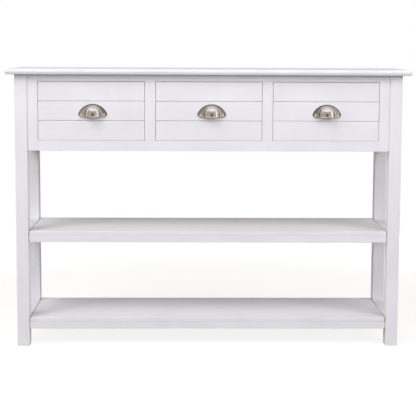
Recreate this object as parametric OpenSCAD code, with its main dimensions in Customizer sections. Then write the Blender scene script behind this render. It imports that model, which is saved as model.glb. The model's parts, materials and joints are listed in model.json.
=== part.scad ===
// Console table with three drawers and two open shelves.
// Origin on the floor, centred under the top. +X is right, +Y is back, +Z is up,
// and the drawers face -Y. All lengths are in millimetres.

/* [Top] */
// Width of the top
top_w = 1150; // [950:10:1400]
// Depth of the top, front to back
top_d = 300; // [270:5:400]
// Height of the top's upper face above the floor
table_h = 800; // [740:5:900]
// Thickness of the top
top_t = 16; // [15:1:28]
// How far the top stands out past the legs at each side
side_overhang = 24; // [10:1:50]
// How far the top stands out past the front legs
front_overhang = 20; // [10:1:40]
// How far the top stands out past the rear legs
rear_overhang = 15; // [5:1:30]
// Inset of the upper face from the top's widest line, taken up by its rounded edge
edge_round = 4.5; // [2:0.5:8]
// Inset of the underside from the top's widest line, taken up by its sloping edge
edge_undercut = 3; // [1:0.5:8]
// Height of the rounded part of the edge
edge_round_h = 9.5; // [4:0.5:10]

/* [Legs] */
// Width and depth of each square leg
leg_w = 35; // [32:1:50]
// How far the frame, panels and shelves lie behind the legs' outer faces
face_recess = 3; // [1:0.5:5]

/* [Face frame] */
// How much thicker the stiles and rails are than the drawer fronts
frame_extra = 2; // [0:0.5:6]
// Width of the stile beside each front leg
end_stile_w = 30; // [26:1:50]
// Width of the stile between two drawers
mid_stile_w = 30; // [26:1:50]
// Height of the rail above the drawers
top_rail_h = 19; // [17:1:40]
// Height of the rail under the drawers
bottom_rail_h = 30; // [24:1:60]

/* [Panels] */
// Thickness of the side panels between the legs
side_panel_t = 18; // [15:1:22]
// Thickness of the back panel
back_panel_t = 15; // [13:1:18]
// Thickness of the partitions between the drawers
partition_t = 15; // [12:1:18]

/* [Drawers] */
// Height of each drawer's opening
opening_h = 168; // [140:1:200]
// Gap on each side of a drawer front
front_gap = 1; // [0.5:0.25:3]
// Gap over a drawer front
front_gap_over = 1.25; // [0.5:0.25:3]
// Gap under a drawer front
front_gap_under = 0.5; // [0.5:0.25:3]
// Thickness of a drawer front
front_t = 18; // [16:1:22]
// Number of planks marked out by grooves in each drawer front and side panel
plank_count = 3; // [2:1:5]
// Width of a V-shaped groove
groove_w = 3; // [1:0.5:6]
// Depth of a V-shaped groove
groove_d = 2.5; // [0.5:0.1:3]
// Thickness of a drawer's sides and back
box_t = 10; // [8:1:12]
// Gap between a drawer's sides and the top of its opening
box_headroom = 21; // [15:1:60]
// Gap between a drawer's side and the edge of its opening
box_inset = 7; // [5:0.5:10]
// Height of a drawer's sides above the rail under it
box_lift = 2; // [1:0.5:4]
// Height of a drawer's bottom panel above the lower edge of its sides
bottom_rise = 8; // [5:1:15]
// Thickness of a drawer's bottom panel
bottom_t = 3; // [3:0.5:6]
// How much lower a drawer's back is than its sides
back_drop = 6; // [0:1:20]
// Length of a drawer's sides past its back
side_tail = 5; // [3:1:15]
// Clear space behind a closed drawer
rear_space = 10; // [5:1:30]

/* [Pulls] */
// Distance of each pull to the right of its drawer's centre, from left to right
pull_shifts = [4, 8, 2];
// Radius of the plate's arched upper edge
plate_r = 43; // [40:0.5:46]
// Height of the plate's arch above the pull's centre
plate_rise = 20; // [18:0.5:22]
// Distance of each screw from the pull's centre line
screw_span = 32; // [31:0.5:35]
// Distance of the screws below the pull's centre
screw_drop = 9; // [6:0.5:12]
// Radius of the round ear about each screw
ear_r = 8.5; // [7:0.5:9]
// Thickness of the plate at its rim
plate_t = 1.8; // [1.2:0.1:3]
// Width of the rim
rim_w = 3.5; // [2:0.5:4]
// Extra thickness of the plate inside the rim
rim_step = 0.8; // [0.4:0.1:1.5]
// Outside radius of the cup
cup_r = 23; // [22:0.5:26]
// Wall thickness of the cup
cup_t = 1.5; // [1:0.1:2.5]
// Projection of the cup in front of the drawer
cup_out = 21; // [18:0.5:22]
// Height of the cup's straight part, down to its lip
cup_skirt = 8.5; // [8:0.5:14]
// Radius of a pull screw's shank
pull_screw_r = 1.75; // [1.5:0.25:2]
// Radius of a pull screw's head
pull_head_r = 3.4; // [3:0.1:4]
// Height of a pull screw's head
pull_head_h = 2; // [1.5:0.25:3]
// Depth of a pull screw in the drawer front
pull_screw_in = 13; // [10:0.5:15]

/* [Runners] */
// Width of the ledge under each side of a drawer
ledge_w = 12; // [10:1:20]
// Thickness of a runner's ledge
ledge_t = 14; // [10:1:16]
// Height of a runner's guide above its ledge
guide_h = 20; // [10:1:40]
// Clearance under a drawer's side
ledge_clear = 0.3; // [0.2:0.1:1]
// Clearance between a drawer's side and its guide
guide_clear = 0.5; // [0.3:0.1:1]
// Clearance between a drawer's side and the kicker above it
kicker_clear = 1.5; // [0.5:0.5:3]

/* [Shelves] */
// Height of the upper shelf's top face above the floor
upper_shelf_z = 335; // [250:5:450]
// Height of the lower shelf's top face above the floor
lower_shelf_z = 82; // [50:1:180]
// Height of a shelf's edge
shelf_h = 32; // [30:1:45]
// Thickness of a shelf's deck
deck_t = 12; // [10:1:14]
// Thickness of the rails under a shelf's front and rear edges
shelf_rail_t = 18; // [16:1:25]
// Gap between a shelf's front and rear rails and the legs
shelf_gap = 0.8; // [0.4:0.1:2]
// Gap between a shelf's deck and the pieces at its ends
deck_gap = 2; // [0.4:0.1:3]
// Width of a shelf's cross battens
batten_w = 30; // [20:1:60]

/* [Joinery] */
// Clearance around tenons, tongues, dowels and screws
joint_gap = 0.1; // [0.05:0.05:0.3]
// Thickness of the tenons and tongues
tenon_t = 8; // [6:0.5:9]
// Length of the tenons that enter the legs and stiles
tenon_l = 14; // [8:1:15]
// Length of the short tenons at the ends of the stiles between drawers
stub_l = 10; // [6:1:12]
// Shoulder left at each edge of a tenon
shoulder = 4; // [3:0.5:5]
// Depth of the grooves for partitions and shelf decks
housing_d = 5; // [3:0.5:6]
// Thickness of the tongue at each end of a shelf's deck
deck_tongue_t = 5; // [4:0.5:6]
// Depth of the grooves that hold a drawer's bottom, sides and back
dado_d = 5; // [3:0.5:6]
// Radius of a dowel
dowel_r = 4; // [3:0.5:4.5]
// Length of a dowel
dowel_l = 30; // [20:2:34]
// Number of dowels at each end of the face frame and of the back panel
dowel_rows = 3; // [2:1:5]
// Radius of a carcass screw's shank
screw_r = 2; // [1.5:0.25:2.5]
// Radius of a carcass screw's head
screw_head_r = 4; // [3.5:0.25:4.5]
// Height of a carcass screw's head
screw_head_h = 2.5; // [2:0.25:3]
// Depth of a carcass screw in the piece that it holds
screw_bite = 12; // [8:1:13]
// Length of the top's screws inside the kickers
screw_hold = 26.5; // [15:0.5:27]

/* [Hidden] */
$fn = 64;
paint = [0.91, 0.91, 0.93];
bare_wood = [0.80, 0.69, 0.52];
hardboard = [0.62, 0.48, 0.33];
nickel = [0.66, 0.64, 0.61];
zinc = [0.75, 0.75, 0.72];

// A cut runs this far past the face that it opens
over = 1;

// Legs: outer and inner planes
side_x = top_w / 2 - side_overhang;
inner_x = side_x - leg_w;
front_y = -top_d / 2 + front_overhang;
rear_y = top_d / 2 - rear_overhang;
front_leg_back_y = front_y + leg_w;
rear_leg_front_y = rear_y - leg_w;
under_top = table_h - top_t;

// Planes of the frame, the panels and the shelves
frame_t = front_t + frame_extra;
face_y = front_y + face_recess;
frame_back_y = face_y + frame_t;
back_y = rear_y - face_recess;
back_panel_y = back_y - back_panel_t;
panel_x = side_x - face_recess;
stile_x = inner_x - end_stile_w;
frame_mid_y = face_y + frame_t / 2;

// Drawer openings
opening_w = (2 * stile_x - 2 * mid_stile_w) / 3;
bay_pitch = opening_w + mid_stile_w;
opening_top_z = under_top - top_rail_h;
opening_z = opening_top_z - opening_h;
apron_z = opening_z - bottom_rail_h;

// Drawer boxes
box_w = opening_w - 2 * box_inset;
box_z = opening_z + box_lift;
box_top_z = opening_top_z - box_headroom;
front_back_y = face_y + front_t;
box_rear_y = back_panel_y - rear_space;
drawer_back_y = box_rear_y - side_tail - box_t;
bottom_z = box_z + bottom_rise;
plank_h = opening_h / plank_count;

// Runners and kickers
ledge_z = box_z - ledge_clear;
guide_x = box_w / 2 + guide_clear;
partition_reach = bay_pitch / 2 - partition_t / 2;
leg_reach = inner_x - bay_pitch;
kicker_z = box_top_z + kicker_clear;
head_seat_z = under_top - screw_hold;
strip_mid_x = (box_w / 2 - ledge_w + partition_reach) / 2;

// Pulls: the origin of a pull is its centre on the drawer's face
front_z = opening_z + front_gap_under;
front_h = opening_h - front_gap_over - front_gap_under;
pull_z = front_z + front_h / 2;
plate_top_t = plate_t + rim_step;
cup_set_back = cup_r - cup_out;

// Shelves and joinery
shelf_heights = [lower_shelf_z, upper_shelf_z];
shelf_rail_mid = (shelf_h - deck_t) / 2;
deck_tongue_rise = (deck_t - deck_tongue_t) / 2;
tongue_margin = 10;
apron_h = under_top - apron_z;
dowel_heights = [for (i = [0 : dowel_rows - 1]) apron_z + apron_h * (i + 0.5) / dowel_rows];
back_dowel_y = back_y - back_panel_t / 2;
shelf_dowel_ys = [face_y + shelf_rail_t / 2, back_y - shelf_rail_t / 2];
partition_screw_heights = [apron_z + apron_h / 3, apron_z + 2 * apron_h / 3];
top_screw_ys = [frame_back_y + (back_panel_y - frame_back_y) / 6,
                back_panel_y - (back_panel_y - frame_back_y) / 6];

// Distance from a bay's centre to what carries its runner: a leg outside, else a partition
function runner_reach(bay, side) = bay * side > 0 ? leg_reach : partition_reach;

// ---------- helpers ----------

// Block between its lowest and highest corners
module block(low, high) {
    translate(low) cube(high - low);
}

// The same piece on the left for side -1, on the right for side 1
module on_side(side) {
    mirror([side < 0 ? 1 : 0, 0, 0]) children();
}

// Round bar along X, centred on a point
module bar_x(centre, r, l) {
    translate(centre) rotate([0, 90, 0]) cylinder(r = r, h = l, center = true);
}

// V-shaped groove along X, cut into a face that looks towards -Y
module v_groove(length) {
    rotate([0, 90, 0])
        linear_extrude(length, center = true)
            polygon([[-groove_w / 2, 0], [0, groove_d], [groove_w / 2, 0], [0, -groove_d]]);
}

// ---------- top ----------

// Section of the top over a given width: sloping below, rounded above
module top_section(width) {
    widest_z = top_t - edge_round_h;
    arc = [for (a = [0 : 11.25 : 90])
        [width / 2 - edge_round + edge_round * cos(a), widest_z + edge_round_h * sin(a)]];
    right = concat([[width / 2 - edge_undercut, 0]], arc);
    left = [for (i = [len(right) - 1 : -1 : 0]) [-right[i][0], right[i][1]]];
    polygon(concat(right, left));
}

module table_top() {
    color(paint) difference() {
        translate([0, 0, under_top]) intersection() {
            rotate([90, 0, 0]) linear_extrude(top_d, center = true) top_section(top_w);
            rotate([90, 0, 90]) linear_extrude(top_w, center = true) top_section(top_d);
        }
        top_screw_set(joint_gap);
    }
}

// ---------- joints shared by two pieces ----------
// Each is drawn once, at its size plus a clearance: 0 for the solid, joint_gap for its seat.

// Tongues of a side panel, in both of its legs
module panel_tongue(gap) {
    mid_x = panel_x - side_panel_t / 2;
    block([mid_x - tenon_t / 2 - gap, front_leg_back_y - tenon_l - gap, apron_z + tongue_margin - gap],
          [mid_x + tenon_t / 2 + gap, rear_leg_front_y + tenon_l + gap,
           under_top - tongue_margin + gap]);
}

// Tenons of a shelf's side rail, in both of its legs
module side_rail_tenon(z, gap) {
    mid_x = (inner_x + panel_x) / 2;
    block([mid_x - tenon_t / 2 - gap, front_leg_back_y - tenon_l - gap, z - shelf_h + shoulder - gap],
          [mid_x + tenon_t / 2 + gap, rear_leg_front_y + tenon_l + gap, z - shoulder + gap]);
}

// Tenons of a front rail, in both end stiles
module front_rail_tenon(z0, z1, gap) {
    reach = stile_x + tenon_l + gap;
    block([-reach, frame_mid_y - tenon_t / 2 - gap, z0 + shoulder - gap],
          [reach, frame_mid_y + tenon_t / 2 + gap, z1 - shoulder + gap]);
}

module front_rail_tenons(gap) {
    front_rail_tenon(opening_top_z, under_top, gap);
    front_rail_tenon(apron_z, opening_z, gap);
}

// Short tenons of a stile between two drawers, in both front rails
module mid_stile_stub(gap) {
    half = mid_stile_w / 2 - shoulder + gap;
    block([bay_pitch / 2 - half, frame_mid_y - tenon_t / 2 - gap, opening_z - stub_l - gap],
          [bay_pitch / 2 + half, frame_mid_y + tenon_t / 2 + gap, opening_top_z + stub_l + gap]);
}

// Tongues of a partition, in its stile and in the back panel
module partition_tongue(gap) {
    half = tenon_t / 2 + gap;
    block([bay_pitch / 2 - half, frame_back_y - housing_d - gap, opening_z + tongue_margin - gap],
          [bay_pitch / 2 + half, back_panel_y + housing_d + gap,
           opening_top_z - tongue_margin + gap]);
}

// Tongue along each end of a shelf's deck, in its side rail
module deck_tongue(z, gap) {
    tongue_z = z - deck_t + deck_tongue_rise;
    block([inner_x - deck_gap - over, front_leg_back_y + tongue_margin - gap, tongue_z - gap],
          [inner_x + housing_d + gap, rear_leg_front_y - tongue_margin + gap,
           tongue_z + deck_tongue_t + gap]);
}

// Dowels between the legs and the face frame or the back panel
module frame_dowel_set(gap) {
    for (side = [-1, 1], y = [frame_mid_y, back_dowel_y], z = dowel_heights)
        bar_x([side * inner_x, y, z], dowel_r + gap, dowel_l + 2 * gap);
}

// Dowels between the legs and the rails under the shelves' edges
module shelf_dowel_set(gap) {
    for (side = [-1, 1], y = shelf_dowel_ys, z = shelf_heights)
        bar_x([side * inner_x, y, z - shelf_h + shelf_rail_mid], dowel_r + gap, dowel_l + 2 * gap);
}

// One screw that holds the top, driven upwards from a pocket in a kicker
module top_screw(gap) {
    translate([0, 0, head_seat_z - over])
        cylinder(r = screw_r + gap, h = screw_hold + screw_bite + over + gap);
    translate([0, 0, head_seat_z - screw_head_h])
        cylinder(r = screw_head_r + gap, h = screw_head_h);
}

module top_screw_set(gap) {
    for (bay = [-1 : 1], side = [-1, 1], y = top_screw_ys)
        translate([bay * bay_pitch + side * strip_mid_x, y, 0]) top_screw(gap);
}

// One screw with a countersunk head, driven forwards from the back panel's rear face
module back_screw(gap) {
    rotate([90, 0, 0]) {
        cylinder(r = screw_r + gap, h = back_panel_t + screw_bite + gap);
        cylinder(r1 = screw_head_r + gap, r2 = screw_r + gap, h = screw_head_h);
    }
}

module back_screw_set(gap) {
    for (bay = [-1 : 1], side = [-1, 1])
        translate([bay * bay_pitch + side * strip_mid_x, back_y, ledge_z - ledge_t / 2])
            back_screw(gap);
    for (side = [-1, 1], z = partition_screw_heights)
        translate([side * bay_pitch / 2, back_y, z]) back_screw(gap);
}

// ---------- legs, face frame and panels ----------

// Leg on the left or right, at the front for end -1 and at the rear for end 1
module leg(side, end) {
    leg_y = end < 0 ? front_y : rear_leg_front_y;
    color(paint) difference() {
        on_side(side) difference() {
            block([inner_x, leg_y, 0], [side_x, leg_y + leg_w, under_top]);
            panel_tongue(joint_gap);
            for (z = shelf_heights) side_rail_tenon(z, joint_gap);
        }
        frame_dowel_set(joint_gap);
        shelf_dowel_set(joint_gap);
    }
}

module front_rail(z0, z1) {
    color(paint) difference() {
        union() {
            block([-stile_x, face_y, z0], [stile_x, frame_back_y, z1]);
            front_rail_tenon(z0, z1, 0);
        }
        for (side = [-1, 1]) on_side(side) mid_stile_stub(joint_gap);
    }
}

module end_stile(side) {
    color(paint) difference() {
        on_side(side)
            block([stile_x, face_y, apron_z], [inner_x, frame_back_y, under_top]);
        front_rail_tenons(joint_gap);
        frame_dowel_set(joint_gap);
    }
}

module mid_stile(side) {
    color(paint) on_side(side) difference() {
        union() {
            block([bay_pitch / 2 - mid_stile_w / 2, face_y, opening_z],
                  [bay_pitch / 2 + mid_stile_w / 2, frame_back_y, opening_top_z]);
            mid_stile_stub(0);
        }
        partition_tongue(joint_gap);
    }
}

module side_panel(side) {
    color(paint) on_side(side) difference() {
        union() {
            block([panel_x - side_panel_t, front_leg_back_y, apron_z],
                  [panel_x, rear_leg_front_y, under_top]);
            panel_tongue(0);
        }
        for (i = [1 : plank_count - 1])
            translate([panel_x, (front_leg_back_y + rear_leg_front_y) / 2, opening_z + i * plank_h])
                rotate([0, 0, 90]) v_groove(rear_leg_front_y - front_leg_back_y);
    }
}

module back_panel() {
    color(paint) difference() {
        block([-inner_x, back_panel_y, apron_z], [inner_x, back_y, under_top]);
        for (side = [-1, 1]) on_side(side) partition_tongue(joint_gap);
        frame_dowel_set(joint_gap);
        back_screw_set(joint_gap);
    }
}

module partition(side) {
    color(bare_wood) difference() {
        on_side(side) {
            block([bay_pitch / 2 - partition_t / 2, frame_back_y, apron_z],
                  [bay_pitch / 2 + partition_t / 2, back_panel_y, under_top]);
            partition_tongue(0);
        }
        back_screw_set(joint_gap);
    }
}

module frame_dowels() {
    color(bare_wood) frame_dowel_set(0);
}

// ---------- what carries the drawers and the top ----------

// Pair of L-shaped runners under one drawer; bay is -1, 0 or 1 from left to right
module runners(bay) {
    color(bare_wood) difference() {
        for (side = [-1, 1]) translate([bay * bay_pitch, 0, 0]) on_side(side) {
            block([box_w / 2 - ledge_w, frame_back_y, ledge_z - ledge_t],
                  [runner_reach(bay, side), back_panel_y, ledge_z]);
            block([guide_x, frame_back_y, ledge_z - ledge_t],
                  [partition_reach, back_panel_y, ledge_z + guide_h]);
        }
        back_screw_set(joint_gap);
    }
}

// Strips above the drawers' sides, which stop them from tipping and carry the top
module drawer_kickers() {
    color(bare_wood) difference() {
        for (bay = [-1 : 1], side = [-1, 1]) translate([bay * bay_pitch, 0, 0]) on_side(side)
            block([box_w / 2 - ledge_w, frame_back_y, kicker_z],
                  [runner_reach(bay, side), back_panel_y, under_top]);
        top_screw_set(joint_gap);
        for (bay = [-1 : 1], side = [-1, 1], y = top_screw_ys)
            translate([bay * bay_pitch + side * strip_mid_x, y, kicker_z - over])
                cylinder(r = screw_head_r + joint_gap, h = head_seat_z - kicker_z + over);
    }
}

module top_screws() {
    color(zinc) top_screw_set(0);
}

module back_screws() {
    color(zinc) back_screw_set(0);
}

// ---------- shelves; z is the height of a shelf's top face ----------

module shelf_deck(z) {
    end_x = inner_x - deck_gap;
    color(paint) union() {
        block([-end_x, face_y, z - deck_t], [end_x, back_y, z]);
        for (side = [-1, 1]) on_side(side) deck_tongue(z, 0);
    }
}

// Rail under the front edge for end -1, under the rear edge for end 1
module shelf_edge_rail(z, end) {
    end_x = inner_x - shelf_gap;
    rail_y = end < 0 ? face_y : back_y - shelf_rail_t;
    color(paint) difference() {
        block([-end_x, rail_y, z - shelf_h], [end_x, rail_y + shelf_rail_t, z - deck_t]);
        shelf_dowel_set(joint_gap);
    }
}

module shelf_side_rail(z, side) {
    color(paint) on_side(side) difference() {
        union() {
            block([inner_x, front_leg_back_y, z - shelf_h], [panel_x, rear_leg_front_y, z]);
            side_rail_tenon(z, 0);
        }
        deck_tongue(z, joint_gap);
    }
}

module shelf_battens(z) {
    color(paint) for (side = [-1, 1])
        translate([side * inner_x / 3, 0, 0])
            block([-batten_w / 2, face_y + shelf_rail_t, z - shelf_h],
                  [batten_w / 2, back_y - shelf_rail_t, z - deck_t]);
}

module shelf_dowels() {
    color(bare_wood) shelf_dowel_set(0);
}

// ---------- drawers; bay is -1, 0 or 1 from left to right ----------

// Grooves for the sides and the bottom in the rear face of a drawer front
module front_housings() {
    for (side = [-1, 1]) on_side(side) drawer_side_board(joint_gap);
    drawer_bottom_board(joint_gap);
}

module drawer_side_board(gap) {
    block([box_w / 2 - box_t - gap, front_back_y - dado_d - gap, box_z - gap],
          [box_w / 2 + gap, box_rear_y, box_top_z + gap]);
}

module drawer_back_board(gap) {
    reach = box_w / 2 - box_t + dado_d + gap;
    block([-reach, drawer_back_y - gap, bottom_z + bottom_t],
          [reach, drawer_back_y + box_t + gap, box_top_z - back_drop + gap]);
}

module drawer_bottom_board(gap) {
    reach = box_w / 2 - box_t + dado_d + gap;
    block([-reach, front_back_y - dado_d - gap, bottom_z - gap],
          [reach, drawer_back_y + box_t, bottom_z + bottom_t + gap]);
}

module drawer_front(bay) {
    half_w = opening_w / 2 - front_gap;
    color(paint) translate([bay * bay_pitch, 0, 0]) difference() {
        block([-half_w, face_y, front_z], [half_w, front_back_y, front_z + front_h]);
        for (i = [1 : plank_count - 1])
            translate([0, face_y, front_z + i * front_h / plank_count]) v_groove(opening_w);
        front_housings();
        pull_screw_set(bay, joint_gap);
    }
}

module drawer_side(bay, side) {
    color(bare_wood) translate([bay * bay_pitch, 0, 0]) on_side(side) difference() {
        drawer_side_board(0);
        drawer_bottom_groove();
        drawer_back_board(joint_gap);
    }
}

// Groove for the bottom along a drawer's side, open at its rear end
module drawer_bottom_groove() {
    block([0, front_back_y - dado_d - over, bottom_z - joint_gap],
          [box_w / 2 - box_t + dado_d + joint_gap, box_rear_y + over,
           bottom_z + bottom_t + joint_gap]);
}

module drawer_back(bay) {
    color(bare_wood) translate([bay * bay_pitch, 0, 0]) drawer_back_board(0);
}

module drawer_bottom(bay) {
    color(hardboard) translate([bay * bay_pitch, 0, 0]) drawer_bottom_board(0);
}

// ---------- pulls ----------

// Puts a pull's own frame on a drawer's face: x right, y up, z out of the face
module on_face(bay) {
    translate([pull_shifts[bay + 1], face_y, pull_z]) rotate([90, 0, 0]) children();
}

// Outline of a pull's plate, drawn in by an inset: an arch between two round ears
module plate_outline(inset) {
    intersection() {
        translate([0, plate_rise - plate_r]) circle(r = plate_r - inset);
        translate([-plate_r, inset - screw_drop]) square([2 * plate_r, 2 * plate_r]);
    }
    for (side = [-1, 1]) translate([side * screw_span, -screw_drop]) circle(r = ear_r - inset);
}

// Quarter round of a radius above a straight skirt, turned about the pull's upright axis
module cup_body(r, skirt) {
    translate([0, -screw_drop, -cup_set_back]) rotate([-90, 0, 0]) rotate_extrude() {
        intersection() {
            circle(r = r);
            square([r, r]);
        }
        translate([0, -skirt]) square([r, skirt]);
    }
}

module pull_shape() {
    difference() {
        union() {
            linear_extrude(plate_t) plate_outline(0);
            linear_extrude(plate_top_t) plate_outline(rim_w);
            cup_body(cup_r, cup_skirt);
        }
        cup_body(cup_r - cup_t, cup_skirt + over);
        block([-plate_r, -plate_r, -2 * cup_r], [plate_r, plate_r, 0]);
        pull_screw_pair(joint_gap);
    }
}

// Two pan-head screws; the heads stand on the plate
module pull_screw_pair(gap) {
    for (side = [-1, 1]) translate([side * screw_span, -screw_drop, 0]) {
        translate([0, 0, -pull_screw_in - gap])
            cylinder(r = pull_screw_r + gap, h = pull_screw_in + plate_top_t + over);
        translate([0, 0, plate_top_t])
            cylinder(r1 = pull_head_r, r2 = pull_head_r / 2, h = pull_head_h);
    }
}

module pull_screw_set(bay, gap) {
    on_face(bay) pull_screw_pair(gap);
}

module drawer_pull(bay) {
    color(nickel) translate([bay * bay_pitch, 0, 0]) on_face(bay) pull_shape();
}

module drawer_pull_screws(bay) {
    color(nickel) translate([bay * bay_pitch, 0, 0]) pull_screw_set(bay, 0);
}

// ---------- what is drawn ----------

table_top();
leg(-1, -1);  // front_left_leg
leg(1, -1);  // front_right_leg
leg(-1, 1);  // rear_left_leg
leg(1, 1);  // rear_right_leg
front_rail(opening_top_z, under_top);  // front_top_rail
front_rail(apron_z, opening_z);  // front_bottom_rail
end_stile(-1);  // left_end_stile
end_stile(1);  // right_end_stile
mid_stile(-1);  // left_mid_stile
mid_stile(1);  // right_mid_stile
side_panel(-1);  // left_side_panel
side_panel(1);  // right_side_panel
back_panel();
partition(-1);  // left_partition
partition(1);  // right_partition
runners(-1);  // left_bay_runners
runners(0);  // middle_bay_runners
runners(1);  // right_bay_runners
drawer_kickers();
frame_dowels();
top_screws();
back_screws();
shelf_deck(upper_shelf_z);  // upper_shelf_deck
shelf_edge_rail(upper_shelf_z, -1);  // upper_shelf_front_rail
shelf_edge_rail(upper_shelf_z, 1);  // upper_shelf_rear_rail
shelf_side_rail(upper_shelf_z, -1);  // upper_shelf_left_rail
shelf_side_rail(upper_shelf_z, 1);  // upper_shelf_right_rail
shelf_battens(upper_shelf_z);  // upper_shelf_battens
shelf_deck(lower_shelf_z);  // lower_shelf_deck
shelf_edge_rail(lower_shelf_z, -1);  // lower_shelf_front_rail
shelf_edge_rail(lower_shelf_z, 1);  // lower_shelf_rear_rail
shelf_side_rail(lower_shelf_z, -1);  // lower_shelf_left_rail
shelf_side_rail(lower_shelf_z, 1);  // lower_shelf_right_rail
shelf_battens(lower_shelf_z);  // lower_shelf_battens
shelf_dowels();
drawer_front(-1);  // left_drawer_front
drawer_side(-1, -1);  // left_drawer_left_side
drawer_side(-1, 1);  // left_drawer_right_side
drawer_back(-1);  // left_drawer_back
drawer_bottom(-1);  // left_drawer_bottom
drawer_pull(-1);  // left_drawer_pull
drawer_pull_screws(-1);  // left_drawer_pull_screws
drawer_front(0);  // middle_drawer_front
drawer_side(0, -1);  // middle_drawer_left_side
drawer_side(0, 1);  // middle_drawer_right_side
drawer_back(0);  // middle_drawer_back
drawer_bottom(0);  // middle_drawer_bottom
drawer_pull(0);  // middle_drawer_pull
drawer_pull_screws(0);  // middle_drawer_pull_screws
drawer_front(1);  // right_drawer_front
drawer_side(1, -1);  // right_drawer_left_side
drawer_side(1, 1);  // right_drawer_right_side
drawer_back(1);  // right_drawer_back
drawer_bottom(1);  // right_drawer_bottom
drawer_pull(1);  // right_drawer_pull
drawer_pull_screws(1);  // right_drawer_pull_screws
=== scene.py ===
"""Finish, light and camera for a white console table with three drawers and two shelves."""

import json
import math
import random

import bmesh
import bpy
from mathutils import Matrix, Vector

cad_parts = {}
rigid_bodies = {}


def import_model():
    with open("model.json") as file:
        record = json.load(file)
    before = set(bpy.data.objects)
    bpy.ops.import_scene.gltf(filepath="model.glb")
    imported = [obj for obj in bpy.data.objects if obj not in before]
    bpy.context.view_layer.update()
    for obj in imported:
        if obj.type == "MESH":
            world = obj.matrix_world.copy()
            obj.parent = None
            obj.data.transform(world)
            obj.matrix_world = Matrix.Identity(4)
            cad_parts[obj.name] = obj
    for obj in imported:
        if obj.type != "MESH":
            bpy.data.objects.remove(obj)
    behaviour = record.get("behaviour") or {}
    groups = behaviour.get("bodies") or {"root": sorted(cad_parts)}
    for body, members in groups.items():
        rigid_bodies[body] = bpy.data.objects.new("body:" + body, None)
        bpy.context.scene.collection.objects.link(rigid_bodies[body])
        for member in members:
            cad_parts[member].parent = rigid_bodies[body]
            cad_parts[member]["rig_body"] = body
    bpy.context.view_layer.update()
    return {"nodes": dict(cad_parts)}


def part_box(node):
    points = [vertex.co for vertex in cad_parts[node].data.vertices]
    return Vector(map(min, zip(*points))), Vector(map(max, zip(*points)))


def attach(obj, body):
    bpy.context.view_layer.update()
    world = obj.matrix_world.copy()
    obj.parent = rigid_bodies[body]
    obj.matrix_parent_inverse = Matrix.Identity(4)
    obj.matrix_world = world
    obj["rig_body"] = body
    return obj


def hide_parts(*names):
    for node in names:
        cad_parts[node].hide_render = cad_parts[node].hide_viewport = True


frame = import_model()

# All lengths below are in millimetres, and turned into metres by MM.
MM = 0.001

# ---------- driving values ----------

# Softened edges: radius of painted pieces, of the drawer fronts and the frame around them,
# of bare pieces and of the plank grooves
PAINTED_EDGE = 1.1
FACE_EDGE = 0.5
BARE_EDGE = 0.6
GROOVE_EDGE = 0.35
EDGE_STEPS = 3
GROOVE_STEPS = 2
SHARP_ANGLE = math.radians(60)
GROOVE_ANGLE = math.radians(38)
SMOOTH_ANGLE = math.radians(40)
FLAT_ANGLE = math.radians(0.4)
# Edges shorter than this belong to screw and dowel holes, and stay as they are
SHORTEST_EDGE = 2.9
# Vertices nearer to each other than this are one
WELD = 0.001

# A pull's plate, with x right, y up and z out of the drawer's face. It has a flat bottom, and an arch
# between two round ears, whose screws lie this far out and below the middle
PLATE_RISE = 20
SCREW_SPAN = 32
SCREW_DROP = 9
EAR_R = 8.5
PLATE_T = 1.8
EDGE_ROUND = 1.0
PLATE_BOTTOM = -SCREW_DROP - EAR_R
ARCH_RISE = PLATE_RISE + SCREW_DROP
ARCH_R = (SCREW_SPAN ** 2 + ARCH_RISE ** 2 - EAR_R ** 2) / (2 * (ARCH_RISE - EAR_R))
ARCH_Y = PLATE_RISE - ARCH_R
# Width of its rim and of the slope inside it, height of that slope, and rise of the field per
# millimetre inwards from it
RIM_W = 2.2
RIM_SLOPE = 0.8
RIM_STEP = 0.3
FIELD_RISE = 0.18
PLATE_TOP = PLATE_T + RIM_STEP
# The dip in the field about each screw
DIMPLE_R = 5.5
DIMPLE_D = 0.8
# The collar about the cup's wall, with the width of its slope and the length over which it runs out
COLLAR_W = 2.6
COLLAR_H = 1.0
COLLAR_SLOPE = 1.8
COLLAR_END = 1.6
# The cup: a quarter round over a skirt with a rolled lip, turned about an upright line that lies
# CUP_SET_BACK behind the plate's back
CUP_R = 23
CUP_T = 1.5
CUP_SET_BACK = 2
CUP_FOOT_X = CUP_R - CUP_T / 2
CUP_SKIRT = 8.5
LIP_R = 0.75
LIP_IN = 0.3
LIP_TURN = (50, -230)
# Stations down the skirt, as shares of its height and of the lip's way in
SKIRT = ((0.3, 0.0), (0.55, 0.15), (0.75, 0.6))
# Steps on each side of a ring about the plate and of one about the cup; both add up to 64
BOTTOM_STEPS = 6
EAR_STEPS = 22
ARCH_STEPS = 36
COLLAR_LEG_STEPS = 12
COLLAR_ARCH_STEPS = 52
# Steps over the plate's round edge, the rim's slope, the field and the collar
ROUND_STEPS = 5
RIM_STEPS = 6
FIELD_STEPS = 8
COLLAR_STEPS = 6
# Steps up the cup's quarter round, round its lip and across it
CUP_STEPS = 26
LIP_STEPS = 14
CUP_COLUMNS = 64

# Screws: shank radii, and the head's height as a share of its radius
PULL_SCREW_R = 1.75
CARCASS_SCREW_R = 2.0
HEAD_H = 0.62
# The head's worn edge and how far that falls on a countersunk head, the share of the head's height
# that its side takes up, and the steps over its crown
HEAD_EDGE = 0.5
HEAD_FALL = 0.15
HEAD_SIDE = 0.35
CROWN_STEPS = 7
# The cross recess: length and width of each arm and depth, as shares of the head's radius or height,
# and how much narrower it is at its bottom
RECESS_L = 1.15
RECESS_W = 0.24
RECESS_D = 0.62
RECESS_TAPER = 0.55
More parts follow.
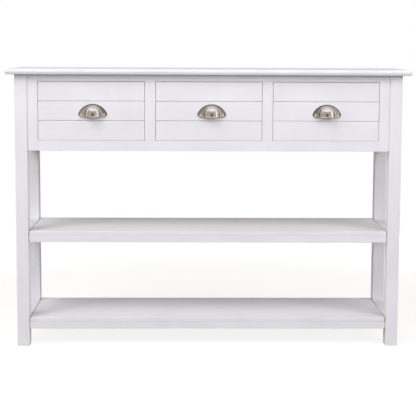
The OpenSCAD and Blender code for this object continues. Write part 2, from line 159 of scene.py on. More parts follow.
# The thread: its root as a share of the shank's radius, its pitch, where each turn's root starts and
# ends and its crest lies as shares of the pitch, the share of the shank that has no thread, and the
# point's length in shank radii
THREAD_ROOT = 0.78
THREAD_PITCH = 1.4
THREAD_TURN = (0.3, 0.6, 0.85)
PLAIN_SHARE = 0.2
POINT_L = 2.4
SCREW_SIDES = 40

# The middle part of a noise pattern, where most of its values lie
MOST = (0.3, 0.7)
# Painted shade: paint is greyer in grooves and corners, within this reach of other faces, down to this
# share, between these two shares of open sky
GROOVE_REACH = 5
GROOVE_SHADE = 0.85
GROOVE_SKY = (0.45, 0.95)
# Painted shadow under the table top's overhang: paint is greyer within this reach below its
# underside, down to this share, but not on faces that are level with it
SEAT_SHADOW_REACH = 5
SEAT_SHADOW_SHADE = 0.62
SEAT_SHADOW_FACE = 0.02
# Painted shade: metal is darker within this reach of other faces, between these two shares of open sky
CORNER_SHADE_REACH = 5
CORNER_SHADE_SKY = (0.2, 0.65)
# Painted shade and painted dark reflections on a pull: how dark it is at its plate's edge, along its
# bottom and on the cup's flanks, over what length, and how far above the plate its flanks start
EDGE_SHADE = 0.9
EDGE_FADE = 0.28
FOOT_SHADE = 0.75
FOOT_START = 0.5
FOOT_FADE = 3.5
FLANK_SHADE = 0.6
FLANK_W = 9
FLANK_RISE = 3.2

# ---------- shader helpers ----------


def linear(red, green, blue):
    """Turns a colour given as 0 to 255 display values into the linear values that shaders take."""
    def channel(value):
        value = value / 255
        if value <= 0.04045:
            return value / 12.92
        return ((value + 0.055) / 1.055) ** 2.4

    return (channel(red), channel(green), channel(blue), 1.0)


def add(tree, kind, inputs=None, **settings):
    """Adds a shader node. Its inputs take plain values or other nodes' output sockets."""
    node = tree.nodes.new(kind)
    for name, value in settings.items():
        setattr(node, name, value)
    for key, value in (inputs or {}).items():
        if isinstance(value, bpy.types.NodeSocket):
            tree.links.new(value, node.inputs[key])
        else:
            node.inputs[key].default_value = value
    return node


def maths(tree, operation, first, second=0.0):
    """One arithmetic step on two numbers or sockets."""
    return add(tree, "ShaderNodeMath", {0: first, 1: second}, operation=operation).outputs[0]


def spread(tree, value, low, high, from_low=0.0, from_high=1.0):
    """Maps a 0 to 1 pattern onto another range."""
    inputs = {"Value": value, 1: from_low, 2: from_high, 3: low, 4: high}
    return add(tree, "ShaderNodeMapRange", inputs).outputs[0]


def blend_colours(tree, factor, first, second, mode="MIX"):
    """Mixes two colours by a factor, each given as a value or a socket."""
    node = add(tree, "ShaderNodeMix", data_type="RGBA", blend_type=mode)
    for index, value in ((0, factor), (6, first), (7, second)):
        if isinstance(value, bpy.types.NodeSocket):
            tree.links.new(value, node.inputs[index])
        else:
            node.inputs[index].default_value = value
    return node.outputs[2]


def noise(tree, vector, scale, detail=2.0, roughness=0.5, stretch=(1, 1, 1)):
    """A noise pattern; stretch gives its scale along the board, across it and through it."""
    placed = add(tree, "ShaderNodeMapping", {"Vector": vector, "Scale": stretch}).outputs[0]
    inputs = {"Vector": placed, "Scale": scale, "Detail": detail, "Roughness": roughness}
    return add(tree, "ShaderNodeTexNoise", inputs).outputs[0]


def bump(tree, height, depth_mm, normal=None):
    """A bump of a given depth in millimetres."""
    inputs = {"Height": height, "Distance": depth_mm * MM, "Strength": 1.0}
    if normal is not None:
        inputs["Normal"] = normal
    return add(tree, "ShaderNodeBump", inputs).outputs[0]


def new_material(name):
    """An empty material with its output, and its node tree."""
    material = bpy.data.materials.new(name)
    material.use_nodes = True
    tree = material.node_tree
    tree.nodes.clear()
    output = add(tree, "ShaderNodeOutputMaterial")
    return material, tree, output


def coat(tree, output, colour, gloss, normal, metallic=0.0):
    """Ends a material with one surface."""
    inputs = {"Base Color": colour, "Roughness": gloss, "Normal": normal, "Metallic": metallic}
    shader = add(tree, "ShaderNodeBsdfPrincipled", inputs)
    tree.links.new(shader.outputs[0], output.inputs[0])


def board_place(tree):
    """Place on a piece, in metres: along its grain, across it and through it."""
    return add(tree, "ShaderNodeAttribute", attribute_name="board").outputs["Vector"]


def openness(tree, reach):
    """Share of open sky over a point, when only faces within a reach count."""
    return add(tree, "ShaderNodeAmbientOcclusion", {"Distance": reach * MM}, samples=8).outputs["AO"]


# ---------- materials ----------


def white_paint():
    """Satin white paint over grain, with brush marks, and painted shade in grooves, corners and under the
    table top.
    """
    material, tree, output = new_material("satin_white_paint")
    place = board_place(tree)
    cloudy = noise(tree, place, 9.0, 3.0)
    grain = noise(tree, place, 60.0, 4.0, 0.6, (0.12, 5.0, 5.0))
    brushed = noise(tree, place, 90.0, 2.0, 0.5, (0.10, 14.0, 14.0))
    peel = noise(tree, place, 900.0, 1.0)
    shade = blend_colours(tree, spread(tree, cloudy, 0, 1, *MOST),
                          linear(231, 230, 233), linear(237, 236, 239))
    level = spread(tree, grain, 0.97, 1.0, *MOST)
    # Painted shade in grooves and corners, where other faces are near
    painted_hollow_shade = spread(tree, openness(tree, GROOVE_REACH), GROOVE_SHADE, 1.0, *GROOVE_SKY)
    level = maths(tree, "MULTIPLY", level, painted_hollow_shade)
    # Painted shadow under the table top's overhang, darkest right under its underside
    spot = add(tree, "ShaderNodeNewGeometry").outputs["Position"]
    height = add(tree, "ShaderNodeSeparateXYZ", {0: spot}).outputs[2]
    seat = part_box("table_top")[0].z
    seat_shadow = spread(tree, height, 0.0, 1.0, seat - SEAT_SHADOW_REACH * MM, seat)
    below = maths(tree, "LESS_THAN", height, seat - SEAT_SHADOW_FACE * MM)
    seat_shadow = maths(tree, "MULTIPLY", seat_shadow, below)
    level = maths(tree, "MULTIPLY", level, spread(tree, seat_shadow, 1.0, SEAT_SHADOW_SHADE))
    grey = add(tree, "ShaderNodeCombineColor", {0: level, 1: level, 2: level}).outputs[0]
    shade = blend_colours(tree, 1.0, shade, grey, "MULTIPLY")
    gloss = spread(tree, cloudy, 0.46, 0.54, *MOST)
    gloss = maths(tree, "ADD", gloss, spread(tree, brushed, -0.03, 0.03, *MOST))
    normal = bump(tree, grain, 0.05)
    normal = bump(tree, brushed, 0.02, normal)
    normal = bump(tree, peel, 0.006, normal)
    coat(tree, output, shade, gloss, normal)
    return material


def bare_wood():
    """Sanded pale pine: growth rings, fibre streaks and a fine open grain."""
    material, tree, output = new_material("bare_pale_pine")
    place = board_place(tree)
    sway = noise(tree, place, 3.0, 2.0, 0.5, (0.6, 2.0, 2.0))
    parts = add(tree, "ShaderNodeSeparateXYZ", {0: place})
    # The pith lies beside the board, so its flat faces show wide arches and its edges narrow lines
    across = maths(tree, "ADD", parts.outputs[1], spread(tree, sway, -0.020, 0.020))
    through = maths(tree, "ADD", parts.outputs[2], spread(tree, sway, 0.016, -0.016))
    squared = maths(tree, "ADD", maths(tree, "MULTIPLY", across, across),
                    maths(tree, "MULTIPLY", through, through))
    radius = maths(tree, "POWER", squared, 0.5)
    ring = maths(tree, "FRACT", maths(tree, "MULTIPLY", radius, 230.0))
    late = add(tree, "ShaderNodeValToRGB", {0: ring})
    late.color_ramp.elements[0].position = 0.15
    late.color_ramp.elements[1].position = 0.86
    fade = late.color_ramp.elements.new(0.98)
    late.color_ramp.elements[0].color = (0, 0, 0, 1)
    late.color_ramp.elements[1].color = (1, 1, 1, 1)
    fade.color = (0.05, 0.05, 0.05, 1)
    fibre = noise(tree, place, 80.0, 4.0, 0.65, (0.08, 6.0, 6.0))
    cloudy = noise(tree, place, 8.0, 2.0)
    colour = blend_colours(tree, spread(tree, late.outputs[0], 0.0, 0.62),
                           linear(226, 200, 160), linear(196, 157, 108))
    colour = blend_colours(tree, spread(tree, fibre, 0.0, 0.5, 0.35, 0.75), colour, linear(180, 143, 98))
    colour = blend_colours(tree, spread(tree, cloudy, 0.0, 0.35, 0.35, 0.7), colour, linear(232, 209, 172))
    normal = bump(tree, fibre, 0.08)
    normal = bump(tree, late.outputs[0], 0.03, normal)
    coat(tree, output, colour, spread(tree, fibre, 0.50, 0.68, *MOST), normal)
    return material


def hardboard():
    """Smooth brown hardboard with short fibres pressed into it."""
    material, tree, output = new_material("brown_hardboard")
    place = board_place(tree)
    fibre = noise(tree, place, 420.0, 4.0, 0.7, (0.5, 1.0, 1.0))
    cloudy = noise(tree, place, 14.0, 3.0)
    colour = blend_colours(tree, spread(tree, fibre, 0, 1, *MOST),
                           linear(143, 108, 74), linear(176, 140, 101))
    colour = blend_colours(tree, spread(tree, cloudy, 0.0, 0.4, *MOST), colour, linear(158, 121, 84))
    coat(tree, output, colour, spread(tree, fibre, 0.38, 0.58, *MOST), bump(tree, fibre, 0.04))
    return material


def pull_painted_shade(tree, place):
    """Painted shade and painted dark reflections on a pull: at its plate's edge, along its bottom and on
    its cup's flanks.
    """
    parts = add(tree, "ShaderNodeSeparateXYZ", {0: place})
    across = maths(tree, "ABSOLUTE", parts.outputs[0])
    up = parts.outputs[1]
    out = parts.outputs[2]
    edge = spread(tree, out, EDGE_SHADE, 0.0, (PLATE_TOP - EDGE_FADE) * MM, PLATE_TOP * MM)
    # The plate's back, at zero, stays light
    edge = maths(tree, "MULTIPLY", edge, maths(tree, "GREATER_THAN", out, WELD * MM))
    foot = spread(tree, up, FOOT_SHADE, 0.0,
                  (PLATE_BOTTOM + FOOT_START) * MM, (PLATE_BOTTOM + FOOT_FADE) * MM)
    flank = spread(tree, across, 0.0, FLANK_SHADE,
                   (CUP_R - FLANK_W) * MM, (CUP_R - FLANK_W / 2) * MM)
    raised = maths(tree, "GREATER_THAN", out, (PLATE_TOP + FLANK_RISE) * MM)
    flank = maths(tree, "MULTIPLY", flank, raised)
    return maths(tree, "MAXIMUM", maths(tree, "MAXIMUM", edge, foot), flank)


def metal(name, light, dark, low_gloss, high_gloss, corner_shade, pull=False):
    """Plated metal, brushed along the piece, with painted shade in its corners; a pull has more painted
    shade.
    """
    material, tree, output = new_material(name)
    place = board_place(tree)
    brushed = noise(tree, place, 700.0, 3.0, 0.6, (0.06, 2.2, 2.2))
    cloudy = noise(tree, place, 160.0, 3.0)
    # Painted shade where other faces are near; a pull also gets painted shade and dark reflections
    painted_dark = spread(tree, openness(tree, CORNER_SHADE_REACH), corner_shade, 0.0, *CORNER_SHADE_SKY)
    if pull:
        painted_dark = maths(tree, "MAXIMUM", painted_dark, pull_painted_shade(tree, place))
    colour = blend_colours(tree, spread(tree, cloudy, 0.0, 0.08, 0.35, 0.7), light, dark)
    colour = blend_colours(tree, painted_dark, colour, dark)
    gloss = spread(tree, brushed, low_gloss, high_gloss, *MOST)
    gloss = maths(tree, "ADD", gloss, spread(tree, cloudy, -0.03, 0.05, *MOST))
    coat(tree, output, colour, gloss, bump(tree, brushed, 0.003), metallic=1.0)
    return material


FINISHES = {
    "white_paint": white_paint(),
    "bare_wood": bare_wood(),
    "hardboard": hardboard(),
    # Each metal: light and dark colour, least and most roughness, and how dark its painted corner shade
    # gets
    "brushed_nickel": metal("brushed_nickel_plate", linear(253, 251, 248), linear(112, 101, 93),
                            0.10, 0.17, 0.5, pull=True),
    "zinc_screw": metal("zinc_plate", linear(196, 197, 194), linear(120, 118, 112), 0.22, 0.36, 0.6),
}

# ---------- pieces ----------


def mesh_from(work, name):
    """Turns a bmesh into a mesh, and frees it."""
    mesh = bpy.data.meshes.new(name)
    work.to_mesh(mesh)
    work.free()
    return mesh


def place_in_scene(name, data):
    """A new object in the scene."""
    made = bpy.data.objects.new(name, data)
    bpy.context.scene.collection.objects.link(made)
    return made


def slot_of(node):
    """Name of the record's material slot that a CAD node wears."""
    return frame["nodes"][node].material_slots[0].material.name.split(".")[0]


def finish_piece(work, node):
    """Makes a bmesh the visible piece that stands for one CAD node."""
    slot = slot_of(node)
    mesh = mesh_from(work, node + "_dressed")
    mesh.materials.clear()
    mesh.materials.append(FINISHES[slot])
    mesh.shade_smooth()
    mesh.set_sharp_from_angle(angle=SMOOTH_ANGLE)
    piece = place_in_scene(node + "_dressed", mesh)
    weighted = piece.modifiers.new("even_shading", "WEIGHTED_NORMAL")
    weighted.keep_sharp = True
    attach(piece, frame["nodes"][node]["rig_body"])
    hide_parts(node)


def loose_parts(work):
    """Lists the separate solids in a bmesh, each as its vertices."""
    parts = []
    seen = set()
    for start in work.verts:
        if start in seen:
            continue
        seen.add(start)
        part = [start]
        for vert in part:
            for edge in vert.link_edges:
                other = edge.other_vert(vert)
                if other not in seen:
                    seen.add(other)
                    part.append(other)
        parts.append(part)
    return parts


def box_of(verts):
    """Lowest and highest corner of some vertices."""
    low = Vector([min(v.co[axis] for v in verts) for axis in range(3)])
    high = Vector([max(v.co[axis] for v in verts) for axis in range(3)])
    return low, high


def lay_grain(work, name):
    """Stores each vertex's place on its board: along, across and through, with a shift of its own."""
    layer = work.verts.layers.float_vector.new("board")
    for number, part in enumerate(loose_parts(work)):
        low, high = box_of(part)
        size = high - low
        along, across, through = sorted(range(3), key=lambda axis: -size[axis])
        draw = random.Random(f"{name} {number}")
        shift = Vector((draw.uniform(0, 9), draw.uniform(0.03, 0.09), draw.uniform(0.02, 0.06)))
        for vert in part:
            place = vert.co - (low + high) / 2
            vert[layer] = Vector((place[along], place[across], place[through])) + shift


def soften(work, angle, radius, steps):
    """Rounds the outward edges that are sharper than an angle."""
    edges = []
    for edge in work.edges:
        if not edge.is_manifold or edge.calc_length() < SHORTEST_EDGE * MM:
            continue
        if edge.calc_face_angle_signed() > angle:
            edges.append(edge)
    bmesh.ops.bevel(work, geom=edges, offset=radius * MM, offset_type="OFFSET", segments=steps,
                    profile=0.5, affect="EDGES", clamp_overlap=True)


def edge_radius(node):
    """How far a wooden piece's edges are worn round."""
    if slot_of(node) != "white_paint":
        return BARE_EDGE
    front_rail = node.startswith("front_") and node.endswith("_rail")
    if front_rail or node.endswith(("_stile", "_drawer_front")):
        return FACE_EDGE
    return PAINTED_EDGE


def dress_wood(node):
    """Stands a softened copy of a wooden CAD node in its place."""
    work = bmesh.new()
    work.from_mesh(frame["nodes"][node].data)
    bmesh.ops.remove_doubles(work, verts=work.verts, dist=WELD * MM)
    bmesh.ops.dissolve_limit(work, angle_limit=FLAT_ANGLE, verts=work.verts, edges=work.edges)
    soften(work, SHARP_ANGLE, edge_radius(node), EDGE_STEPS)
    if slot_of(node) == "white_paint":
        soften(work, GROOVE_ANGLE, GROOVE_EDGE, GROOVE_STEPS)
    lay_grain(work, node)
    finish_piece(work, node)


# ---------- cup pulls ----------


def arc(centre, radius, start, end, steps):
    """Points along an arc, from one angle to another in degrees, with both ends."""
    points = []
    for step in range(steps + 1):
        angle = math.radians(start + (end - start) * step / steps)
        points.append((centre[0] + radius * math.cos(angle), centre[1] + radius * math.sin(angle)))
    return points


def line(start, end, steps):
    """Points along a straight line, without its end."""
    across = end[0] - start[0]
    up = end[1] - start[1]
    return [(start[0] + across * step / steps, start[1] + up * step / steps) for step in range(steps)]


def eased(share):
    """A share from 0 to 1 that starts and ends slowly."""
    return share * share * (3 - 2 * share)


def mirrored(points):
    """A right half, drawn from the bottom up to the middle, followed by its mirror image."""
    return points + [(-x, y) for x, y in reversed(points[:-1])]


def plate_ring(inset):
    """Outline of a pull's plate, drawn in by an inset, from the cup's right foot round to its left foot."""
    ear = (SCREW_SPAN, -SCREW_DROP)
    turn = math.degrees(math.atan2(ear[1] - ARCH_Y, ear[0]))
    bottom = PLATE_BOTTOM + inset
    half = line((CUP_FOOT_X, bottom), (SCREW_SPAN, bottom), BOTTOM_STEPS)
    half += arc(ear, EAR_R - inset, -90, turn, EAR_STEPS)[:-1]
    half += arc((0, ARCH_Y), ARCH_R - inset, turn, 90, ARCH_STEPS)
    return mirrored(half)


def foot_ring(inset, height, beyond=0.0, rise=0.0):
    """A ring about the cup, at a length beyond its wall and a rise, which both run out at the bottom."""
    bottom = PLATE_BOTTOM + inset
    half = []
    for x, y in line((CUP_FOOT_X, bottom), (CUP_FOOT_X, -SCREW_DROP), COLLAR_LEG_STEPS):
        share = min(1.0, (y - bottom) / COLLAR_END)
        half.append((x + beyond * share, y, height + rise * share))
    over = arc((0, -SCREW_DROP), CUP_FOOT_X + beyond, 0, 90, COLLAR_ARCH_STEPS)
    half += [(x, y, height + rise) for x, y in over]
    return half + [(-x, y, z) for x, y, z in reversed(half[:-1])]


def swell(x, y):
    """How far the plate's field rises at a place, by its way in from the arch and the ears' ends.

    It dips again about each screw."""
    across = abs(x)
    up = max(y, -SCREW_DROP)
    if (up - ARCH_Y) * SCREW_SPAN >= (-SCREW_DROP - ARCH_Y) * across:
        inwards = ARCH_R - math.hypot(across, up - ARCH_Y)
    else:
        inwards = EAR_R - math.hypot(across - SCREW_SPAN, up + SCREW_DROP)
    near = max(0.0, 1 - math.hypot(across - SCREW_SPAN, y + SCREW_DROP) / DIMPLE_R)
    climb = FIELD_RISE * max(0.0, inwards - RIM_W - RIM_SLOPE / 2)
    return max(0.0, climb - DIMPLE_D * eased(near))


def plate_profile():
    """Steps from the plate's back over its round edge and rim to its field, as inset and height."""
    profile = [(0.0, 0.0)]
    corner = arc((0, 0), EDGE_ROUND, 0, 90, ROUND_STEPS)
    profile += [(EDGE_ROUND - x, PLATE_T - EDGE_ROUND + y) for x, y in corner]
    for step in range(RIM_STEPS + 1):
        share = step / RIM_STEPS
        profile.append((RIM_W + RIM_SLOPE * (share - 0.5), PLATE_T + RIM_STEP * eased(share)))
    profile.append((RIM_W + RIM_SLOPE, PLATE_TOP))
    return profile


def add_plate(work):
    """Builds the pull's plate: a stamped sheet with a round edge, a rim, a field and a collar."""
    profile = plate_profile()
    rings = [[(x, y, height) for x, y in plate_ring(inset)] for inset, height in profile]
    deepest, top = profile[-1]
    field = plate_ring(deepest)
    collar = foot_ring(deepest, top, CUP_T / 2 + COLLAR_W)
    for step in range(1, FIELD_STEPS + 1):
        share = step / FIELD_STEPS
        rings.append([(outer[0] + (inner[0] - outer[0]) * share,
                       outer[1] + (inner[1] - outer[1]) * share, top)
                      for outer, inner in zip(field, collar)])
    for step in range(1, COLLAR_STEPS + 1):
        share = step / COLLAR_STEPS
        beyond = CUP_T / 2 + COLLAR_W - COLLAR_SLOPE * share
        rings.append(foot_ring(deepest, top, beyond, COLLAR_H * eased(share)))
    rings.append(foot_ring(deepest, top, 0.0, COLLAR_H))
    # The back, at zero, stays flat
    rings = [[(x, y, z + swell(x, y) if z > 0 else z) for x, y, z in ring] for ring in rings]
    rings.append(foot_ring(deepest, 0.0))
    rings = [[work.verts.new(point) for point in ring] for ring in rings]
    rings.append(rings[0])
    for ring, following in zip(rings, rings[1:]):
        for index in range(len(ring) - 1):
            corners = (ring[index], ring[index + 1], following[index + 1], following[index])
            work.faces.new(corners)
    for end in (0, -1):
        work.faces.new([ring[end] for ring in rings[:-1]])


def cup_profile():
    """Stations over the cup's outer face, round its lip and back up inside: radius and height."""
    inner_r = CUP_R - CUP_T
    outer_top = math.degrees(math.acos(CUP_SET_BACK / CUP_R))
    inner_top = math.degrees(math.acos(CUP_SET_BACK / inner_r))
    outer = arc((0, 0), CUP_R, outer_top, 0, CUP_STEPS)
    outer += [(CUP_R - inwards * LIP_IN, -down * CUP_SKIRT) for down, inwards in SKIRT]
    lip = arc((CUP_R - LIP_IN - LIP_R, LIP_R - CUP_SKIRT), LIP_R, *LIP_TURN, LIP_STEPS)
    inner = [(inner_r - inwards * LIP_IN, -down * CUP_SKIRT) for down, inwards in reversed(SKIRT)]
    inner += arc((0, 0), inner_r, 0, inner_top, CUP_STEPS)
    return outer + lip + inner


def add_cup(work):
    """Builds the pull's cup: a quarter round over a short skirt with a rolled lip, hollow behind."""
    grid = []
    for radius, height in cup_profile():
        reach = math.acos(min(1.0, CUP_SET_BACK / radius))
        row = []
        for column in range(CUP_COLUMNS + 1):
            angle = reach * (2 * column / CUP_COLUMNS - 1)
            x = radius * math.sin(angle)
            out = radius * math.cos(angle) - CUP_SET_BACK
            row.append(work.verts.new((x, height - SCREW_DROP, out)))
        grid.append(row)
    for row, following in zip(grid, grid[1:]):
        for column in range(CUP_COLUMNS):
            work.faces.new((row[column], row[column + 1], following[column + 1], following[column]))
    # Its two ends, between the outer and the inner face
    last = len(grid) - 1
    for end in (0, CUP_COLUMNS):
        for index in range(last // 2):
            corners = [grid[index][end], grid[index + 1][end],
                       grid[last - index - 1][end], grid[last - index][end]]
            work.faces.new(list(dict.fromkeys(corners)))


def dress_pull(node):
    """Stands a detailed cup pull in the place of a plain one."""
    low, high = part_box(node)
    centre_x = (low.x + high.x) / 2
    centre_z = low.z + (SCREW_DROP + CUP_SKIRT) * MM
    work = bmesh.new()
    add_plate(work)
    add_cup(work)
    layer = work.verts.layers.float_vector.new("board")
    for vert in work.verts:
        vert[layer] = vert.co * MM
        x, y, out = vert.co
        vert.co = Vector((centre_x + x * MM, high.y - out * MM, centre_z + y * MM))
    bmesh.ops.remove_doubles(work, verts=work.verts, dist=WELD * MM)
    bmesh.ops.recalc_face_normals(work, faces=work.faces)
    finish_piece(work, node)


# ---------- screws ----------


def turned(name, profile):
    """A solid turned about Z from radius and height pairs, which start and end on the axis."""
    work = bmesh.new()
    rings = []
    for radius, height in profile:
        if radius == 0:
            rings.append([work.verts.new((0, 0, height))])
            continue
        circle = arc((0, 0), radius, 0, 360, SCREW_SIDES)[:-1]
        rings.append([work.verts.new((x, y, height)) for x, y in circle])
    for ring, following in zip(rings, rings[1:]):
        for index in range(SCREW_SIDES):
            other = (index + 1) % SCREW_SIDES
            corners = [ring[index % len(ring)], ring[other % len(ring)],
                       following[other % len(following)], following[index % len(following)]]
            work.faces.new(list(dict.fromkeys(corners)))
    bmesh.ops.recalc_face_normals(work, faces=work.faces)
    return mesh_from(work, name)


def cross_cutter(head_r, depth):
    """Two crossed wedges, narrower at the bottom, that cut a cross recess."""
    work = bmesh.new()
    for turn in (0, 90):
        made = bmesh.ops.create_cube(work, size=1)["verts"]
        for vert in made:
            narrow = RECESS_TAPER if vert.co.z < 0 else 1.0
            vert.co.x *= RECESS_L * head_r * narrow
            vert.co.y *= RECESS_W * head_r * narrow
            vert.co.z = -depth if vert.co.z < 0 else depth
        quarter = Matrix.Rotation(math.radians(turn), 3, "Z")
        bmesh.ops.rotate(work, verts=made, cent=(0, 0, 0), matrix=quarter)
    return mesh_from(work, "cross_cutter")


def head_points(head_r, head_h, countersunk):
    """Half section of a screw's head, from the middle of its top to its shank, with the top at zero."""
    if countersunk:
        return [(0, 0), (head_r - HEAD_EDGE, 0), (head_r, -HEAD_FALL)]
    side_h = HEAD_SIDE * head_h
    crown = []
    for step in range(CROWN_STEPS + 1):
        angle = math.pi / 2 * step / CROWN_STEPS
        crown.append((head_r * math.sin(angle), (head_h - side_h) * (math.cos(angle) - 1)))
    crown[0] = (0, 0)
    return crown + [(head_r, HEAD_EDGE - head_h), (head_r - 0.3 * HEAD_EDGE, -head_h)]


def screw_mesh(name, head_r, head_h, shank_r, length, countersunk):
    """A wood screw with a cross recess; its head's top is at zero and its point is below."""
    root_r = THREAD_ROOT * shank_r
    profile = head_points(head_r, head_h, countersunk)
    profile.append((shank_r, -head_h - 0.01))
    thread_top = -head_h - PLAIN_SHARE * (length - head_h)
    tip = POINT_L * shank_r
    profile.append((shank_r, thread_top))
    turns = int((length + thread_top - tip) / THREAD_PITCH)
    for turn in range(turns):
        z = thread_top - turn * THREAD_PITCH
        for radius, share in zip((root_r, root_r, shank_r), THREAD_TURN):
            profile.append((radius, z - share * THREAD_PITCH))
    profile += [(root_r, -length + tip), (0, -length)]
    screw = place_in_scene(name, turned(name, profile))
    cutter = place_in_scene("cross_cutter", cross_cutter(head_r, RECESS_D * head_h))
    cut = screw.modifiers.new("recess", "BOOLEAN")
    cut.operation = "DIFFERENCE"
    cut.solver = "EXACT"
    # The cutter's two arms cross each other
    cut.use_self = True
    cut.object = cutter
    bpy.context.view_layer.update()
    made = bpy.data.meshes.new_from_object(screw.evaluated_get(bpy.context.evaluated_depsgraph_get()))
    bpy.data.objects.remove(screw)
    bpy.data.objects.remove(cutter)
    return made


def dress_screws(node, shank_r, axis, outward, countersunk):
    """Stands detailed screws in the place of a node's plain ones; outward is where their heads point."""
    source = bmesh.new()
    source.from_mesh(frame["nodes"][node].data)
    bmesh.ops.remove_doubles(source, verts=source.verts, dist=WELD * MM)
    boxes = [box_of(part) for part in loose_parts(source)]
    source.free()
    work = bmesh.new()
    layer = work.verts.layers.float_vector.new("board")
    aim = Vector((0, 0, 0))
    aim[axis] = outward
    turn = aim.to_track_quat("Z", "X").to_matrix().to_4x4()
    for number, (low, high) in enumerate(boxes):
        size = high - low
        head_r = size[(axis + 1) % 3] / 2 / MM
        mesh = screw_mesh(f"{node}_{number}", head_r, HEAD_H * head_r, shank_r, size[axis] / MM,
                          countersunk)
        place = (low + high) / 2
        place[axis] = high[axis] if outward > 0 else low[axis]
        spin = Matrix.Rotation(random.Random(f"{node} {number}").uniform(0, math.pi), 4, "Z")
        first = len(work.verts)
        work.from_mesh(mesh)
        work.verts.ensure_lookup_table()
        move = Matrix.Translation(place) @ turn @ spin @ Matrix.Scale(MM, 4)
        for vert in work.verts[first:]:
            vert[layer] = vert.co * MM
            vert.co = move @ vert.co
        bpy.data.meshes.remove(mesh)
    finish_piece(work, node)


for name in sorted(frame["nodes"]):
    if name.endswith("_pull"):
        dress_pull(name)
    elif name.endswith("_pull_screws"):
        dress_screws(name, PULL_SCREW_R, 1, -1, countersunk=False)
    elif name == "back_screws":
        dress_screws(name, CARCASS_SCREW_R, 1, 1, countersunk=True)
    elif name == "top_screws":
        dress_screws(name, CARCASS_SCREW_R, 2, -1, countersunk=False)
    else:
        dress_wood(name)

# ---------- light, floor and camera ----------


def ray_kinds(tree):
    """1 for the rays of mirrors and glass, and 1 for those and the camera's."""
    path = add(tree, "ShaderNodeLightPath")
    glass = path.outputs["Is Transmission Ray"]
    mirrored = maths(tree, "MAXIMUM", path.outputs["Is Glossy Ray"], glass)
    return mirrored, maths(tree, "MAXIMUM", path.outputs["Is Camera Ray"], mirrored)


def show_white(tree, output, surface, share):
    """Adds white light to what the camera and mirrors see, and leaves the surface alone otherwise."""
    seen = ray_kinds(tree)[1]
    glow = add(tree, "ShaderNodeEmission",
               {"Color": (1, 1, 1, 1), "Strength": maths(tree, "MULTIPLY", seen, share)})
    both = add(tree, "ShaderNodeAddShader", {0: surface, 1: glow.outputs[0]})
    tree.links.new(both.outputs[0], output.inputs[0])


def add_floor():
    """A pale round floor that fades into the white background."""
    work = bmesh.new()
    bmesh.ops.create_circle(work, cap_ends=True, segments=96, radius=FLOOR_R)
    mesh = mesh_from(work, "floor")
    material, tree, output = new_material("pale_floor")
    diffuse = add(tree, "ShaderNodeBsdfDiffuse", {"Color": FLOOR_COLOUR})
    place = add(tree, "ShaderNodeTexCoord").outputs["Object"]
    away = add(tree, "ShaderNodeVectorMath", {0: place}, operation="LENGTH").outputs["Value"]
    glow = spread(tree, away, FLOOR_GLOW, 1.0, *FLOOR_FADE)
    show_white(tree, output, diffuse.outputs[0], glow)
    mesh.materials.append(material)
    place_in_scene("floor", mesh)


def light_world():
    """White to the camera, a dimmer even light for surfaces, and a studio for mirrors to show."""
    world = bpy.data.worlds.new("studio")
    bpy.context.scene.world = world
    world.use_nodes = True
    tree = world.node_tree
    tree.nodes.clear()
    mirrored, seen = ray_kinds(tree)
    towards = add(tree, "ShaderNodeTexCoord").outputs["Generated"]
    aim = add(tree, "ShaderNodeSeparateXYZ", {0: towards})
    turn = math.radians(ROOM_TURN)
    ahead = maths(tree, "ADD", maths(tree, "MULTIPLY", aim.outputs[0], -math.sin(turn)),
                  maths(tree, "MULTIPLY", aim.outputs[1], -math.cos(turn)))
    room = spread(tree, ahead, 0.0, 1.0, *ROOM_SIDES)
    room = maths(tree, "MULTIPLY", room, spread(tree, aim.outputs[2], 1.0, 0.0, *ROOM_TOP))
    straight = maths(tree, "MULTIPLY", aim.outputs[1], -1.0)
    middle = spread(tree, straight, 0.0, 1.0, *ROOM_MIDDLE)
    room_colour = blend_colours(tree, middle, ROOM_COLOUR, MIDDLE_COLOUR)
    colour = blend_colours(tree, seen, AMBIENT_COLOUR, (1, 1, 1, 1))
    colour = blend_colours(tree, maths(tree, "MULTIPLY", room, mirrored), colour, room_colour)
    back = add(tree, "ShaderNodeBackground",
               {"Color": colour, "Strength": spread(tree, seen, AMBIENT, 1.0)})
    output = add(tree, "ShaderNodeOutputWorld")
    tree.links.new(back.outputs[0], output.inputs[0])


def add_lamp(name, bearing, height, distance, width, tall, level, colour):
    """A soft lamp aimed at the table, at a bearing and a height angle in degrees.

    Its level is its share of a full exposure of a surface that faces it there."""
    bearing = math.radians(bearing)
    height = math.radians(height)
    away = Vector((math.cos(height) * math.sin(bearing), -math.cos(height) * math.cos(bearing),
                   math.sin(height)))
    place = LAMP_AIM + distance * away
    beam = LAMP_AIM - place
    data = bpy.data.lights.new(name, "AREA")
    data.shape = "RECTANGLE"
    data.size = width
    data.size_y = tall
    data.energy = level * math.pi ** 2 * beam.length_squared
    data.color = colour
    lamp = place_in_scene(name, data)
    lamp.location = place
    lamp.visible_glossy = False
    lamp.rotation_euler = beam.to_track_quat("-Z", "Y").to_euler()


def add_camera():
    """A camera that looks along +Y, tilted down, turned to the right and rolled."""
    tilt = math.radians(CAMERA_TILT)
    turn = math.radians(CAMERA_TURN)
    roll = math.radians(CAMERA_ROLL)
    forward = Vector((math.sin(turn) * math.cos(tilt), math.cos(turn) * math.cos(tilt),
                      -math.sin(tilt)))
    level = Vector((math.cos(turn), -math.sin(turn), 0))
    upright = level.cross(forward)
    right = math.cos(roll) * level + math.sin(roll) * upright
    up = right.cross(forward)
    data = bpy.data.cameras.new("camera")
    data.sensor_width = SENSOR_W
    data.lens = CAMERA_LENS
    data.shift_y = CAMERA_SHIFT
    camera = place_in_scene("camera", data)
    axes = Matrix((right, up, -forward)).transposed().to_4x4()
    camera.matrix_world = Matrix.Translation(CAMERA_PLACE) @ axes
    bpy.context.scene.camera = camera


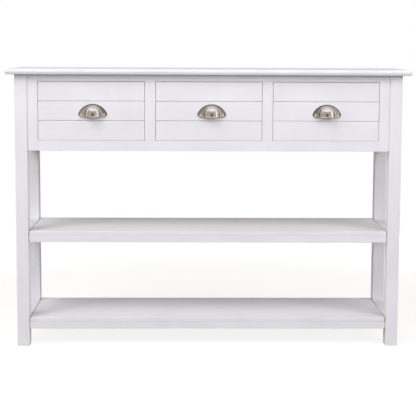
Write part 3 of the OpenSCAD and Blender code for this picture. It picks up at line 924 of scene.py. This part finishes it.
# The dim room that metal reflects, ahead of the table and turned this many degrees to the left. It
# starts between two cosines of the angle from the way it faces, and ends under a white ceiling
# between two sines of the angle upwards. Its darker middle starts between two cosines of the angle
# from straight ahead
ROOM_TURN = 20
ROOM_SIDES = (-0.15, 0.25)
ROOM_TOP = (0.64, 0.86)
ROOM_MIDDLE = (0.89, 1.0)
ROOM_COLOUR = linear(174, 163, 154)
MIDDLE_COLOUR = linear(90, 80, 74)
# Even light from all around, for surfaces
AMBIENT = 0.03
AMBIENT_COLOUR = (1.0, 0.93, 0.89, 1)
# The floor, in metres, with the white added to it, which becomes full over the fade
FLOOR_R = 2
FLOOR_COLOUR = linear(134, 129, 123)
FLOOR_GLOW = 0.85
FLOOR_FADE = (1.0, 1.9)
# The camera: place in metres, tilt, turn and roll in degrees, and its lens in millimetres
CAMERA_PLACE = Vector((-0.0566, -3.2470, 0.8560))
CAMERA_TILT = 5.912
CAMERA_TURN = 1.003
CAMERA_ROLL = 0.259
CAMERA_LENS = 95.0
CAMERA_SHIFT = -0.108
SENSOR_W = 36
# Where the lamps aim, in metres
LAMP_AIM = Vector((0, 0, 0.6))
# Lamps: name, bearing to the right of straight in front, height angle, distance, width and height in
# metres, level and colour
LAMPS = (
    ("front_low", 0, 8, 4.0, 2.6, 1.2, 0.285, (0.98, 0.99, 1.06)),
    ("front_left", -45, 31, 3.6, 1.8, 1.5, 0.335, (1.0, 1.0, 1.02)),
    ("front_left_high", -45, 50, 3.4, 1.6, 1.2, 0.32, (1.0, 1.0, 0.98)),
    ("front_right", 45, 28, 3.6, 1.8, 1.8, 0.46, (1.0, 0.99, 1.02)),
    ("front_right_high", 45, 50, 3.4, 1.6, 1.2, 0.03, (1.0, 1.0, 1.0)),
    ("left", -82, 10, 3.2, 1.6, 1.4, 0.19, (1.0, 0.98, 0.94)),
    ("right", 82, 10, 3.2, 1.6, 1.4, 0.10, (1.0, 0.95, 0.80)),
    ("back", 180, -5, 4.0, 2.6, 0.4, 0.5, (1.0, 1.0, 1.0)),
)
add_floor()
light_world()
for lamp in LAMPS:
    add_lamp(*lamp)
add_camera()
bpy.context.scene.view_settings.view_transform = "Standard"
